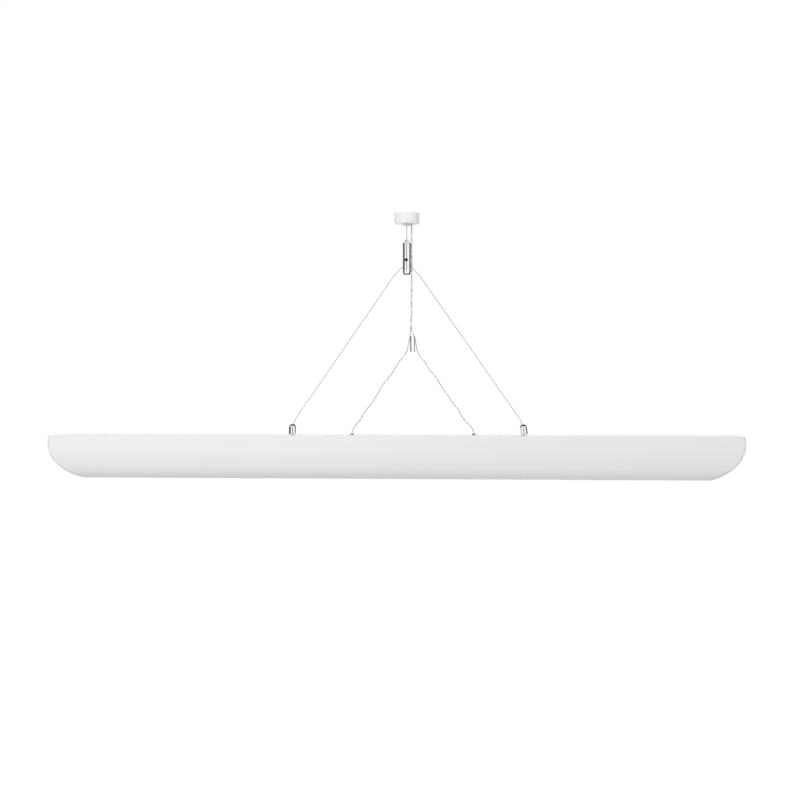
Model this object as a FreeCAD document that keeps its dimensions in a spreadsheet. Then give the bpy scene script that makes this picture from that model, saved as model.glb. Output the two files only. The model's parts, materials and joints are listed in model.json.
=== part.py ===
"""A hanging shop light, 1.2 m long: a white trough with curved ends, hung from one steel rope.

The rope comes down from a small ceiling rose into a chrome hub that grips it. Two more ropes leave
the hub's sides and end in domed grippers on the trough's top. Two single insulated wires hang beside
the rope as a twisted pair, part at a small chrome splitter, and enter the trough through grommets.

All sizes are millimetres. The origin lies on the ceiling, on the rope's own axis. +Z is up, +X runs
along the trough to the viewer's right, and -Y faces the viewer.
"""

import FreeCAD, Part
import math
import os
import re
import Sketcher

Vector = FreeCAD.Vector
doc = FreeCAD.newDocument("HangingShopLight")

SIZES = [
    # ceiling rose
    ("rose_radius", 22, "outside of the rose's cover"),
    ("rose_height", 22, "ceiling to the underside of the cover's nut"),
    ("rose_wall", 1.5, "wall of the cover"),
    ("rose_base_thick", 2, "steel plate screwed to the ceiling"),
    ("rose_fit_gap", 0.3, "play between the cover and its plate"),
    ("rose_nut_radius", 5.5, "round nut under the cover"),
    ("rose_nut_height", 3.5, "round nut under the cover"),
    ("ceiling_screw_spacing", 28, "the two ceiling screws, along Y"),
    ("ceiling_screw_hole_radius", 2, "their holes"),
    ("supply_hole_radius", 4, "hole for the supply cable in the plate"),
    ("trunk_hole_radius", 4, "hole for the twisted pair in the cover"),
    ("socket_radius", 4, "threaded tube that carries the rope's ball"),
    ("socket_mouth_radius", 1.8, "rope's way out of the tube and of the ball's seat"),
    ("lock_nut_radius", 6.2, "hexagon nut on the tube, across corners / 2"),
    ("lock_nut_height", 3, "hexagon nut on the tube"),
    ("thread_gap", 0.05, "play of a nut or screw on its thread"),
    ("ball_radius", 2.3, "ball at the top of the rope"),
    ("ball_gap", 0.06, "play of a ball in its seat"),
    ("seat_thick", 0.7, "nylon cup between the ball and the tube"),
    ("ball_height", 4, "ball's centre above the tube's mouth"),
    ("terminal_length", 15, "terminal block in the rose, along Y"),
    ("terminal_width", 9, "terminal block, along X"),
    ("terminal_height", 8, "terminal block"),
    ("terminal_reach", 12.5, "terminal block's centre from the rope"),
    ("terminal_screw_radius", 1.6, "clamping screws of the terminal blocks"),
    ("terminal_screw_spacing", 7, "clamping screws of the terminal blocks"),
    # ropes
    ("rope_radius", 0.6, "wire rope, 1.2 mm across"),
    ("rope_gap", 0.05, "play between the rope and a piece that it passes"),
    ("rope_show", 24, "rope between the rose and the plunger"),
    ("rope_tail", 29, "rope inside the hub, below the plunger's top"),
    # hub that grips the rope
    ("hub_radius", 7.25, "outside of the hub"),
    ("hub_length", 53.6, "hub's tube"),
    ("hub_roof", 3, "thickness over the plunger's flange"),
    ("hub_wall", 2.3, "wall of the tube"),
    ("hub_chamfer_length", 4.2, "taper at the hub's foot, along the axis"),
    ("hub_chamfer_depth", 1.15, "taper at the hub's foot, across it"),
    ("hub_edge", 0.5, "bevel of the hub's top edge"),
    ("plunger_radius", 3, "nipple on top of the hub"),
    ("plunger_show", 5.6, "height of the nipple above the hub"),
    ("plunger_edge", 1.1, "bevel at the nipple's top"),
    ("plunger_bore", 0.9, "rope's way through the plunger"),
    ("plunger_flange_radius", 4.5, "flange under the roof"),
    ("plunger_flange_height", 2, "flange under the roof"),
    ("plunger_travel", 2.5, "how far the plunger can be pressed"),
    ("cage_radius", 1.9, "plunger's lower end, which holds the balls"),
    ("slide_gap", 0.1, "radial play of a sliding piece"),
    ("spring_room", 8, "height of the spring"),
    ("spring_radius", 3.5, "middle of the spring's turns"),
    ("spring_wire_radius", 0.28, "spring wire"),
    ("spring_turns", 5, "turns of the spring"),
    ("cone_length", 14, "hardened sleeve round the balls"),
    ("cone_land", 3.5, "its straight part above the taper"),
    ("cone_narrow", 2.2, "taper's radius at its top"),
    ("cone_wide", 3.6, "taper's radius at its bottom"),
    ("grip_ball_radius", 0.95, "the three gripping balls"),
    ("grip_ball_drop", 8, "the balls below the sleeve's top"),
    ("grip_ball_count", 3, "gripping balls"),
    ("cage_end", 2.5, "cage below the balls' centres"),
    ("set_screw_drop", 29.9, "set screw below the hub's top"),
    ("set_screw_radius", 2.8, "set screw that locks the rope"),
    ("set_screw_length", 4.2, "set screw"),
    ("set_screw_inset", 0.4, "its face below the hub's surface"),
    ("hex_socket_radius", 1.7, "its socket, across corners / 2"),
    ("hex_socket_depth", 2, "its socket"),
    ("leg_exit_drop", 41.8, "where the legs leave, below the hub's top"),
    ("leg_block_height", 11.5, "block that holds the legs' nipples"),
    ("leg_block_rise", 7.2, "the block's top above the legs' exit"),
    ("nipple_radius", 1.5, "swaged nipple on each leg's top end"),
    ("nipple_length", 2.8, "swaged nipple"),
    ("foot_flange_radius", 6.3, "flange of the plug, under the hub's foot"),
    ("foot_flange_height", 1.4, "flange of the plug"),
    ("plug_slot_width", 1.2, "screwdriver slots"),
    ("plug_slot_depth", 1.2, "screwdriver slots"),
    # legs
    ("leg_root_reach", 2.6, "leg's end from the hub's axis"),
    ("leg_root_rise", 3.8, "leg's end above its exit"),
    ("leg_bend_reach", 14, "leg's first bend from the hub's axis"),
    ("leg_bend_drop", 5.5, "leg's first bend below its exit"),
    ("leg_knee_reach", 25, "leg's second bend from the hub's axis"),
    ("leg_knee_drop", 18.9, "leg's second bend below its exit"),
    # trough as a whole
    ("hub_to_top", 334.4, "hub's top to the trough's top"),
    ("hang_offset", 22, "trough's middle left of the rope"),
    ("body_length", 1200, "trough, over its curved ends"),
    ("body_width", 150, "trough, across"),
    ("body_height", 75, "trough, top to bottom"),
    ("wall_straight", 25, "upright part of its sides"),
    ("side_radius", 80, "gentle curve below that"),
    ("side_turn", 23.6, "degrees that the gentle curve turns"),
    ("end_reach", 96, "ellipse of the curved ends, along X"),
    ("end_under", 5, "ellipse's lowest point below the trough's underside"),
    ("end_depth", 14, "ellipse's centre below the top"),
    # trough's shells
    ("diffuser_wall", 2.5, "opal diffuser"),
    ("end_thick", 2, "curved end plates"),
    ("end_gap", 0.3, "play between the diffuser and an end plate"),
    ("tray_thick", 1, "white steel tray on top"),
    ("tray_flange", 12, "tray's flanges inside the diffuser"),
    ("tray_fit_gap", 0.3, "play between flange and diffuser"),
    ("snap_ledge", 2, "ledge of the diffuser under each flange"),
    ("seal_height", 2.5, "rubber strip at each end of the tray"),
    ("seal_width", 4, "rubber strip at each end of the tray"),
    # light source
    ("carrier_width", 100, "aluminium channel that carries the boards"),
    ("carrier_drop", 24.5, "channel's web below the trough's top"),
    ("carrier_thick", 1.5, "sheet of the channel"),
    ("carrier_foot", 12, "feet of the channel"),
    ("carrier_end_room", 50, "channel's end from the trough's end"),
    ("board_width", 36, "one board"),
    ("board_thick", 1.6, "one board"),
    ("board_gap", 4, "between boards, and from the outer boards to the channel's ends"),
    ("board_count", 4, "boards"),
    ("chip_size", 5, "one light-emitting chip"),
    ("chip_height", 1, "one chip"),
    ("chip_columns", 9, "chips along a board"),
    ("chip_rows", 2, "rows of chips on a board"),
    ("chip_row_spacing", 18, "between the rows"),
    ("rivet_radius", 2, "rivets through the channel's feet"),
    ("rivet_head_radius", 3.4, "their heads"),
    ("rivet_head_height", 1.2, "their heads"),
    ("rivet_end_room", 40, "outer rivets from the channel's ends"),
    ("rivet_count", 4, "on each side"),
    # driver
    ("driver_start", 213, "driver's near end from the rope; its weight balances the trough"),
    ("driver_length", 190, "driver's case"),
    ("driver_width", 52, "driver's case"),
    ("driver_height", 17.5, "driver's case"),
    ("driver_wall", 0.8, "sheet of the case"),
    ("driver_lid_lap", 6, "lid's skirt outside the case"),
    ("driver_board_margin", 4, "board's edge from the case's wall"),
    ("driver_board_rise", 3, "board above the case's floor"),
    ("driver_core_length", 28, "transformer"),
    ("driver_core_width", 28, "transformer"),
    ("driver_core_height", 9, "transformer"),
    ("capacitor_radius", 4.5, "capacitors, lying down"),
    ("capacitor_length", 18, "capacitors"),
    ("driver_post_radius", 3, "posts under the driver's board"),
    # fittings on the trough
    ("gripper_spacing", 406, "between the grippers"),
    ("gripper_centre", 1, "middle of the grippers, right of the rope"),
    ("cap_radius", 6.2, "gripper's cap"),
    ("cap_length", 17.8, "gripper's cap"),
    ("cap_dome", 5, "height of its domed top"),
    ("cap_wall", 1, "its wall"),
    ("cap_hole_radius", 2.5, "rope's way into the cap"),
    ("cap_drop", 4.1, "cap's rim below the ball's centre"),
    ("cap_pivot_rise", 5.5, "ball's centre above the trough"),
    ("left_cap_lean", 1.5, "degrees that the left cap leans to the rope"),
    ("right_cap_lean", 10, "degrees that the right cap leans to the rope"),
    ("left_stub_lean", 2, "degrees that the left leg's end leans"),
    ("right_stub_lean", 10, "degrees that the right leg's end leans"),
    ("leg_ankle_rise", 24, "leg's last bend but one above the ball's centre"),
    ("left_ankle_inset", 6.6, "that bend from the left ball's centre, towards the rope"),
    ("right_ankle_inset", 8.3, "that bend from the right ball's centre, towards the rope"),
    ("stub_top", 13, "leg's last bend above the ball's centre"),
    ("stub_end", 4.8, "leg's end above the ball's centre"),
    ("stop_radius", 3.1, "swaged stop on the leg's end"),
    ("stop_length", 3.2, "swaged stop"),
    ("stud_ball_radius", 3.4, "ball of the gripper's stud"),
    ("stud_neck_radius", 1.9, "stud below its ball"),
    ("stud_flange_radius", 3, "flange on the trough"),
    ("stud_flange_height", 0.6, "flange on the trough"),
    ("stud_below", 7, "stud inside the trough"),
    ("ring_height", 3.4, "threaded ring that keeps the ball in the cap"),
    ("ring_mouth_radius", 2.9, "ring's hole round the neck"),
    ("stud_nut_radius", 3.8, "nut on the stud, across corners / 2"),
    ("stud_nut_height", 3, "nut on the stud"),
    ("cable_centre", 10.2, "middle of the grommets, right of the rope"),
    ("grommet_spacing", 213.2, "between the grommets"),
    ("grommet_radius", 4, "dome of the grommet"),
    ("grommet_dome", 3, "height of the dome"),
    ("grommet_neck_radius", 3, "grommet through the tray"),
    ("grommet_neck_length", 3, "grommet below the tray"),
    ("grommet_lip_radius", 3.9, "lip under the tray"),
    ("grommet_lip_height", 1.2, "lip under the tray"),
    # wires
    ("wire_radius", 0.9, "one insulated wire"),
    ("wire_gap", 0.1, "play of a wire in its hole"),
    ("trunk_radius", 1.8, "the twisted pair"),
    ("ferrule_radius", 0.7, "ferrules on the pair's bare ends"),
    ("ferrule_length", 3, "ferrules"),
    ("splitter_radius", 4.45, "splitter"),
    ("splitter_length", 27.2, "splitter"),
    ("splitter_drop", 214.1, "splitter's top below the ceiling"),
    ("splitter_across", 9.9, "splitter's middle right of the rope"),
    ("splitter_behind", 1.5, "splitter's middle behind the rope"),
    ("splitter_bore", 2.4, "hollow of the splitter"),
    ("splitter_roof", 11, "solid part above the hollow"),
    ("splitter_slot_length", 10, "wires' slots in its top"),
    ("splitter_slot_depth", 2.9, "wires' slots in its top"),
    ("splitter_plug_length", 3, "plug in its foot"),
    ("lead_radius", 0.9, "wires inside the trough"),
]
ALIASES = {name for name, _, _ in SIZES}

sheet = doc.addObject("Spreadsheet::Sheet", "Sizes")
for row, (name, number, words) in enumerate(SIZES, 1):
    sheet.set(f"A{row}", words)
    sheet.set(f"B{row}", str(number))
    sheet.setAlias(f"B{row}", name)
doc.recompute()

# ---------------------------------------------------------------- places worked out from the sizes
COVER_HEIGHT = "(rose_height - rose_nut_height)"
BALL_Z = "(ball_height - rose_height)"
PLUNGER_TOP = "(-rose_height - rope_show)"
HUB_TOP = f"({PLUNGER_TOP} - plunger_show)"
HUB_BORE = "(hub_radius - hub_wall)"
FLANGE_TOP = f"({HUB_TOP} - hub_roof)"
SPRING_TOP = f"({FLANGE_TOP} - plunger_flange_height)"
CONE_TOP = f"({SPRING_TOP} - spring_room)"
GRIP_Z = f"({CONE_TOP} - grip_ball_drop)"
GRIP_REACH = "(rope_radius + rope_gap * 3 + grip_ball_radius)"
CAGE_FOOT = f"({GRIP_Z} - cage_end)"
LEG_EXIT = f"({HUB_TOP} - leg_exit_drop)"
LEG_BLOCK_TOP = f"({LEG_EXIT} + leg_block_rise)"
HUB_FOOT = f"({HUB_TOP} - hub_length)"
TOP = f"({HUB_TOP} - hub_to_top)"
TRAY_UNDER = f"({TOP} - tray_thick)"
PIVOT_Z = f"({TOP} + cap_pivot_rise)"
CARRIER_TOP = f"({TOP} - carrier_drop)"
BOARD_TOP = f"({CARRIER_TOP} - carrier_thick)"
CHIP_TOP = f"({BOARD_TOP} - board_thick)"
CARRIER_LENGTH = "(body_length - carrier_end_room * 2)"
BOARD_LENGTH = f"(({CARRIER_LENGTH} - board_gap * (board_count + 1)) / board_count)"
SIDE_DROP = "(side_radius * sin(side_turn))"
SIDE_INSET = "(side_radius * (1 - cos(side_turn)))"
END_RISE = "(body_height + end_under - end_depth)"
RIVET_SPACING = f"(({CARRIER_LENGTH} - rivet_end_room * 2) / (rivet_count - 1))"
CORNER_RADIUS = f"((body_height - wall_straight - {SIDE_DROP}) / (1 - sin(side_turn)))"

# Routes of the wires, chosen by hand to follow the photographed ones. Each is a list of points.
TRUNK_ROUTE = [
    (7.6, 6.0, -17.4),
    (7.6, 6.0, -44.0),
    (8.0, 6.0, -78.0),
    (7.7, 6.0, -112.0),
    (8.3, 5.2, -134.0),
    (7.6, 4.4, -154.0),
    (8.4, 3.2, -174.0),
    (7.4, 1.8, -189.0),
    (7.4, 1.8, -200.5),
]
LEFT_WIRE_ROUTE = [
    (6.5, 1.8, -200.5),
    (6.5, 1.8, -206.0),
    (5.3, 1.5, -214.5),
    (3.6, 1.3, -223.0),
    (1.9, 1.0, -232.0),
    (0.6, 0.6, -240.5),
    (-5.6, 0.2, -249.2),
    (-14.6, 0.0, -259.5),
    (-25.8, 0.6, -279.0),
    (-39.0, 0.9, -294.0),
    (-48.6, 0.4, -309.5),
    (-59.4, -0.4, -328.0),
    (-72.0, -0.9, -343.2),
    (-81.2, -0.4, -358.8),
    (-91.0, 0.0, -370.4),
    (-96.4, 0.0, -378.6),
    (-96.4, 0.0, -387.6),
]
RIGHT_WIRE_ROUTE = [
    (8.3, 1.8, -200.5),
    (8.3, 1.8, -204.0),
    (10.2, 1.7, -208.6),
    (12.9, 1.5, -215.0),
    (15.0, 1.3, -223.0),
    (16.8, 1.1, -232.0),
    (18.4, 0.8, -241.0),
    (23.4, 0.4, -250.0),
    (32.4, 0.6, -259.6),
    (37.4, 1.0, -270.0),
    (46.0, 0.6, -279.2),
    (54.6, 0.0, -290.6),
    (61.8, -0.6, -304.0),
    (73.0, -0.2, -317.4),
    (78.8, 0.6, -329.2),
    (89.6, 1.0, -340.6),
    (95.6, 0.4, -353.4),
    (104.6, -0.2, -363.8),
    (111.4, 0.0, -370.4),
    (116.8, 0.0, -378.6),
    (116.8, 0.0, -387.6),
]
# Wires inside the trough, from each grommet to the driver's terminal block.
LEFT_LEAD_ROUTE = [
    (-96.4, 0.0, -387.6),
    (-96.4, 0.0, -394.0),
    (-92.0, 1.0, -399.0),
    (-80.0, 5.0, -403.0),
    (-50.0, 14.0, -405.0),
    (-5.0, 24.0, -406.4),
    (50.0, 29.0, -407.0),
    (105.0, 25.0, -406.6),
    (150.0, 12.0, -406.0),
    (178.0, 5.2, -403.2),
    (200.0, 3.5, -402.0),
    (213.9, 3.5, -402.0),
]
RIGHT_LEAD_ROUTE = [
    (116.8, 0.0, -387.6),
    (116.8, 0.0, -394.0),
    (121.0, -0.6, -399.0),
    (132.0, -3.0, -402.5),
    (155.0, -6.0, -403.0),
    (179.0, -4.8, -402.6),
    (200.0, -3.5, -402.0),
    (213.9, -3.5, -402.0),
]


# ---------------------------------------------------------------- helpers
def bound(words):
    """The expression with the sheet's name put before each size."""
    return re.sub(r"[a-z_]+", lambda w: "Sizes." + w[0] if w[0] in ALIASES else w[0], str(words))


def value(words):
    return float(sheet.evalExpression(bound(words)))


def bind(item, **paths):
    for path, words in paths.items():
        item.setExpression(path.replace("__", "."), bound(words))
    return item


def put(item, at, turn=None):
    """Place an object at three expressions, turned by (axis, degrees in words) if that is given."""
    if turn:
        axis, degrees = turn
        item.Placement = FreeCAD.Placement(Vector(), FreeCAD.Rotation(Vector(*axis), value(degrees)))
        item.setExpression("Placement.Rotation.Angle", bound(degrees))
    for letter, words in zip("xyz", at):
        item.setExpression("Placement.Base." + letter, bound(words))
    return item


def box(length, width, height, at):
    made = doc.addObject("Part::Box", "Box")
    return put(bind(made, Length=length, Width=width, Height=height), at)


def cylinder(radius, height, at, turn=None):
    made = doc.addObject("Part::Cylinder", "Cylinder")
    return put(bind(made, Radius=radius, Height=height), at, turn)


def cone(low, high, height, at, turn=None):
    made = doc.addObject("Part::Cone", "Cone")
    return put(bind(made, Radius1=low, Radius2=high, Height=height), at, turn)


def ball(radius, at):
    return put(bind(doc.addObject("Part::Sphere", "Sphere"), Radius=radius), at)


def hexagon(radius, height, at, turn=None):
    made = doc.addObject("Part::Prism", "Prism")
    made.Polygon = 6
    return put(bind(made, Circumradius=radius, Height=height), at, turn)


def joined(*parts):
    if len(parts) == 1:
        return parts[0]
    made = doc.addObject("Part::MultiFuse", "Fuse")
    made.Shapes = list(parts)
    return made


def cut(base, *tools):
    made = doc.addObject("Part::Cut", "Cut")
    made.Base = base
    made.Tool = joined(*tools)
    return made


def shared(base, tool):
    made = doc.addObject("Part::Common", "Common")
    made.Base = base
    made.Tool = tool
    return made


def together(*parts):
    """Separate solids that share a node."""
    made = doc.addObject("Part::Compound", "Group")
    made.Links = list(parts)
    return made


NODES = []


def node(label, item):
    item.Label = label
    NODES.append(item)
    return item


def plane(body, role):
    return next(item for item in body.Origin.OriginFeatures if item.Role == role)


def outline(body, role, corners):
    """A closed sketch. A corner is (x, y), or (x, y, radius) where an arc starts.

    A positive radius has its centre on the left of the way to the next corner.
    """
    sketch = body.newObject("Sketcher::SketchObject", "Outline")
    sketch.AttachmentSupport = (plane(body, role), [""])
    sketch.MapMode = "FlatFace"
    spots = [Vector(value(corner[0]), value(corner[1]), 0) for corner in corners]
    ends = []
    for index, corner in enumerate(corners):
        start, end = spots[index], spots[(index + 1) % len(spots)]
        if len(corner) == 2:
            ends.append((sketch.addGeometry(Part.LineSegment(start, end), False), 1, 2))
            continue
        radius = value(corner[2])
        way = end - start
        left = Vector(-way.y, way.x, 0).normalize()
        rise = math.sqrt(radius**2 - (way.Length / 2) ** 2)
        centre = (start + end) / 2 + left * math.copysign(rise, radius)
        angles = [math.atan2(spot.y - centre.y, spot.x - centre.x) for spot in (start, end)]
        circle = Part.Circle(centre, Vector(0, 0, 1), abs(radius))
        if radius > 0:
            ends.append((sketch.addGeometry(Part.ArcOfCircle(circle, *angles), False), 1, 2))
        else:
            ends.append((sketch.addGeometry(Part.ArcOfCircle(circle, *angles[::-1]), False), 2, 1))
    for index, corner in enumerate(corners):
        line, first, last = ends[index]
        after, after_first, _ = ends[(index + 1) % len(ends)]
        sketch.addConstraint(Sketcher.Constraint("Coincident", line, last, after, after_first))
        for kind, words, number in zip(("DistanceX", "DistanceY"), corner, spots[index][:2]):
            rule = sketch.addConstraint(Sketcher.Constraint(kind, -1, 1, line, first, number))
            sketch.setExpression(f"Constraints[{rule}]", bound(words))
        if len(corner) == 3:
            size = str(corner[2]).lstrip("-")
            rule = sketch.addConstraint(Sketcher.Constraint("Radius", line, value(size)))
            sketch.setExpression(f"Constraints[{rule}]", bound(size))
    return sketch


def turned(corners, at=("0", "0", "0"), turn=None):
    """A body turned about its own Z axis from an outline of (radius, height) corners."""
    body = doc.addObject("PartDesign::Body", "Turned")
    sketch = outline(body, "XZ_Plane", corners)
    revolution = body.newObject("PartDesign::Revolution", "Revolution")
    revolution.Profile = (sketch, [""])
    revolution.ReferenceAxis = (sketch, ["V_Axis"])
    revolution.Angle = 360
    return put(body, at, turn)


def run(corners, length, at):
    """A body with an outline of (y, z) corners, which runs along X."""
    body = doc.addObject("PartDesign::Body", "Run")
    sketch = outline(body, "YZ_Plane", corners)
    pad = body.newObject("PartDesign::Pad", "Pad")
    pad.Profile = (sketch, [""])
    pad.setExpression("Length", bound(length))
    return put(body, at)


def middle(size):
    """Where a piece of that length starts if it is centred on the trough."""
    return f"-hang_offset - ({size}) / 2"


def smooth_path(points):
    """Straight runs joined by arcs, each of which takes 0.45 of the shorter run beside it."""
    points = [Vector(*point) for point in points]
    edges, radii, start = [], [], points[0]
    for before, corner, after in zip(points, points[1:], points[2:]):
        come, go = (corner - before).normalize(), (after - corner).normalize()
        half = come.getAngle(go) / 2
        shorter = min((corner - before).Length, (after - corner).Length)
        back = 0.45 * shorter
        radii.append(back / math.tan(half))
        first, last = corner - come * back, corner + go * back
        inward = (go - come).normalize()
        crown = corner + inward * (radii[-1] / math.cos(half) - radii[-1])
        edges.append(Part.LineSegment(start, first).toShape())
        edges.append(Part.Arc(first, crown, last).toShape())
        start = last
    edges.append(Part.LineSegment(start, points[-1]).toShape())
    return Part.Wire(edges), radii


def cord(label, points, size):
    """The solid of a rope or wire, with its measures printed."""
    path, radii = smooth_path(points)
    thick = value(size)
    first = Vector(*points[1]) - Vector(*points[0])
    ring = Part.Wire([Part.Circle(Vector(*points[0]), first, thick).toShape()])
    solid = path.makePipeShell([ring], True, False)
    expected = math.pi * thick**2 * path.Length
    made = doc.addObject("Part::Feature", label)
    made.Shape = solid
    print(f"{label}: {path.Length:.1f} mm long, volume / (section x length)"
          f" {solid.Volume / expected:.4f}, least radius {min(radii):.1f} mm")
    print("  radii:", " ".join(f"{r:.0f}" for r in radii))
    return node(label, made)


# ---------------------------------------------------------------- ceiling rose
def ceiling_rose():
    trunk_x, trunk_y = TRUNK_ROUTE[0][:2]
    inner = "(rose_radius - rose_wall)"
    floor = f"({COVER_HEIGHT} - rose_wall)"
    screw_y = "(ceiling_screw_spacing / 2)"
    plate = cylinder(f"{inner} - rose_fit_gap", "rose_base_thick", ("0", "0", "-rose_base_thick"))
    holes = [
        cylinder("ceiling_screw_hole_radius", "rose_base_thick * 3",
                 ("0", f"{side}{screw_y}", "-rose_base_thick * 2"))
        for side in "+-"
    ]
    holes.append(cylinder("socket_radius + thread_gap", "rose_base_thick * 3",
                          ("0", "0", "-rose_base_thick * 2")))
    holes.append(cylinder("supply_hole_radius", "rose_base_thick * 3",
                          (trunk_x, trunk_y, "-rose_base_thick * 2")))
    node("rose_base", cut(plate, *holes))

    cover = turned([
        (inner, "0"), ("rose_radius", "0"),
        ("rose_radius", f"rose_wall - {COVER_HEIGHT}", "-rose_wall"),
        ("rose_radius - rose_wall", f"-{COVER_HEIGHT}"),
        ("socket_radius + thread_gap", f"-{COVER_HEIGHT}"),
        ("socket_radius + thread_gap", f"-{floor}"), (inner, f"-{floor}"),
    ])
    node("rose_cover", cut(cover, cylinder("trunk_hole_radius", "rose_wall * 3",
                                           (trunk_x, trunk_y, f"-{COVER_HEIGHT} - rose_wall"))))

    tube = cylinder("socket_radius", "rose_height", ("0", "0", "-rose_height"))
    mouth = cylinder("socket_mouth_radius", "rose_height", ("0", "0", f"{BALL_Z} - rose_height"))
    room = "(ball_radius + seat_thick + ball_gap * 2)"
    node("rope_socket", cut(
        tube, ball(room, ("0", "0", BALL_Z)), cylinder(room, "rose_height", ("0", "0", BALL_Z)), mouth,
    ))
    node("ball_seat", cut(
        ball("ball_radius + ball_gap + seat_thick", ("0", "0", BALL_Z)),
        ball("ball_radius + ball_gap", ("0", "0", BALL_Z)),
        cylinder(room, "rose_height", ("0", "0", BALL_Z)),
        mouth,
    ))
    node("rose_nut", turned([
        ("socket_radius + thread_gap", "-rose_height"), ("rose_nut_radius", "-rose_height"),
        ("rose_nut_radius", f"-{COVER_HEIGHT}"), ("socket_radius + thread_gap", f"-{COVER_HEIGHT}"),
    ]))
    node("socket_lock_nut", cut(
        hexagon("lock_nut_radius", "lock_nut_height", ("0", "0", "-rose_base_thick - lock_nut_height")),
        cylinder("socket_radius + thread_gap", "lock_nut_height * 3",
                 ("0", "0", "-rose_base_thick - lock_nut_height * 2")),
    ))
    block = box("terminal_width", "terminal_length", "terminal_height",
                ("-terminal_reach - terminal_width / 2", "-terminal_length / 2",
                 "-rose_base_thick - terminal_height"))
    wells, clamps = [], []
    for side in "+-":
        place = ("-terminal_reach", f"{side}terminal_screw_spacing / 2", "-rose_base_thick - terminal_height")
        wells.append(cylinder("terminal_screw_radius + thread_gap", "terminal_height / 2", place))
        wells.append(cylinder("ferrule_radius + slide_gap * 3", "terminal_width",
                              ("-terminal_reach", f"{side}terminal_screw_spacing / 2",
                               "-rose_base_thick - terminal_height / 3"), ((0, 1, 0), "90")))
        clamps.append(cylinder("terminal_screw_radius", "terminal_height / 3", place))
    node("rose_terminal", cut(block, *wells))
    node("rose_terminal_screws", together(*clamps))


# ---------------------------------------------------------------- top rope and hub
def top_rope():
    bored = cylinder("rope_radius + rope_gap", "ball_radius * 4", ("0", "0", f"{BALL_Z} - ball_radius * 2"))
    node("rope_ball", cut(ball("ball_radius", ("0", "0", BALL_Z)), bored))
    rope_foot = f"({PLUNGER_TOP} - rope_tail)"
    node("top_rope", cylinder("rope_radius", f"{BALL_Z} + ball_radius - {rope_foot}", ("0", "0", rope_foot)))


def hub():
    shell = turned([
        ("plunger_radius + slide_gap", HUB_TOP), ("hub_radius - hub_edge", HUB_TOP),
        ("hub_radius", f"{HUB_TOP} - hub_edge"), ("hub_radius", f"{HUB_FOOT} + hub_chamfer_length"),
        ("hub_radius - hub_chamfer_depth", HUB_FOOT), (HUB_BORE, HUB_FOOT),
        (HUB_BORE, FLANGE_TOP), ("plunger_radius + slide_gap", FLANGE_TOP),
    ])
    screw_z = f"({HUB_TOP} - set_screw_drop)"
    front = ((1, 0, 0), "90")
    holes = [cylinder("set_screw_radius + thread_gap", "hub_radius * 2", ("0", "0", screw_z), front)]
    for side in (1, -1):
        holes.append(leg_hole(side, "rope_radius + rope_gap", "0", "hub_radius * 2"))
    node("hub_body", cut(shell, *holes))
    node("hub_plunger", plunger())
    balls = []
    for index in range(int(value("grip_ball_count"))):
        turn = f"(360 / grip_ball_count * {index})"
        balls.append(ball("grip_ball_radius", (f"{GRIP_REACH} * cos({turn})", f"{GRIP_REACH} * sin({turn})",
                                               GRIP_Z)))
    node("grip_balls", together(*balls))

    node("grip_sleeve", turned([
        ("cage_radius + slide_gap", CONE_TOP), (f"{HUB_BORE} - thread_gap", CONE_TOP),
        (f"{HUB_BORE} - thread_gap", f"{CONE_TOP} - cone_length"),
        ("cone_wide", f"{CONE_TOP} - cone_length"), ("cone_narrow", f"{CONE_TOP} - cone_land"),
        ("cage_radius + slide_gap", f"{CONE_TOP} - cone_land"),
    ]))
    spring()

    tip = "-(hub_radius - set_screw_inset - set_screw_length)"
    screw = cylinder("set_screw_radius", "set_screw_length", ("0", tip, screw_z), front)
    socket = hexagon("hex_socket_radius", "hex_socket_depth",
                     ("0", "-(hub_radius - set_screw_inset - hex_socket_depth)", screw_z), front)
    node("hub_set_screw", cut(screw, socket))

    block = cylinder(f"{HUB_BORE} - thread_gap", "leg_block_height",
                     ("0", "0", f"{LEG_BLOCK_TOP} - leg_block_height"))
    ways = []
    for side in (1, -1):
        ways.append(leg_hole(side, "rope_radius + rope_gap", "0", "hub_radius * 2"))
        ways.append(leg_hole(side, "nipple_radius + rope_gap", "-nipple_length / 2 - rope_gap",
                             "nipple_length + rope_gap * 2"))
    node("leg_block", cut(block, *ways))
    node("leg_nipples", together(*[
        cut(leg_hole(side, "nipple_radius", "-nipple_length / 2", "nipple_length"),
            leg_hole(side, "rope_radius", "-nipple_length", "nipple_length * 2"))
        for side in (1, -1)
    ]))
    plug_foot = f"({HUB_FOOT} - foot_flange_height)"
    slot = box("hub_radius * 2", "plug_slot_width", "plug_slot_depth * 2",
               ("-hub_radius", "-plug_slot_width / 2", f"{plug_foot} - plug_slot_depth"))
    node("hub_foot_plug", cut(turned([
        ("0", plug_foot), ("foot_flange_radius", plug_foot), ("foot_flange_radius", HUB_FOOT),
        (f"{HUB_BORE} - thread_gap", HUB_FOOT),
        (f"{HUB_BORE} - thread_gap", f"{LEG_BLOCK_TOP} - leg_block_height"),
        ("0", f"{LEG_BLOCK_TOP} - leg_block_height"),
    ]), slot))


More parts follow.
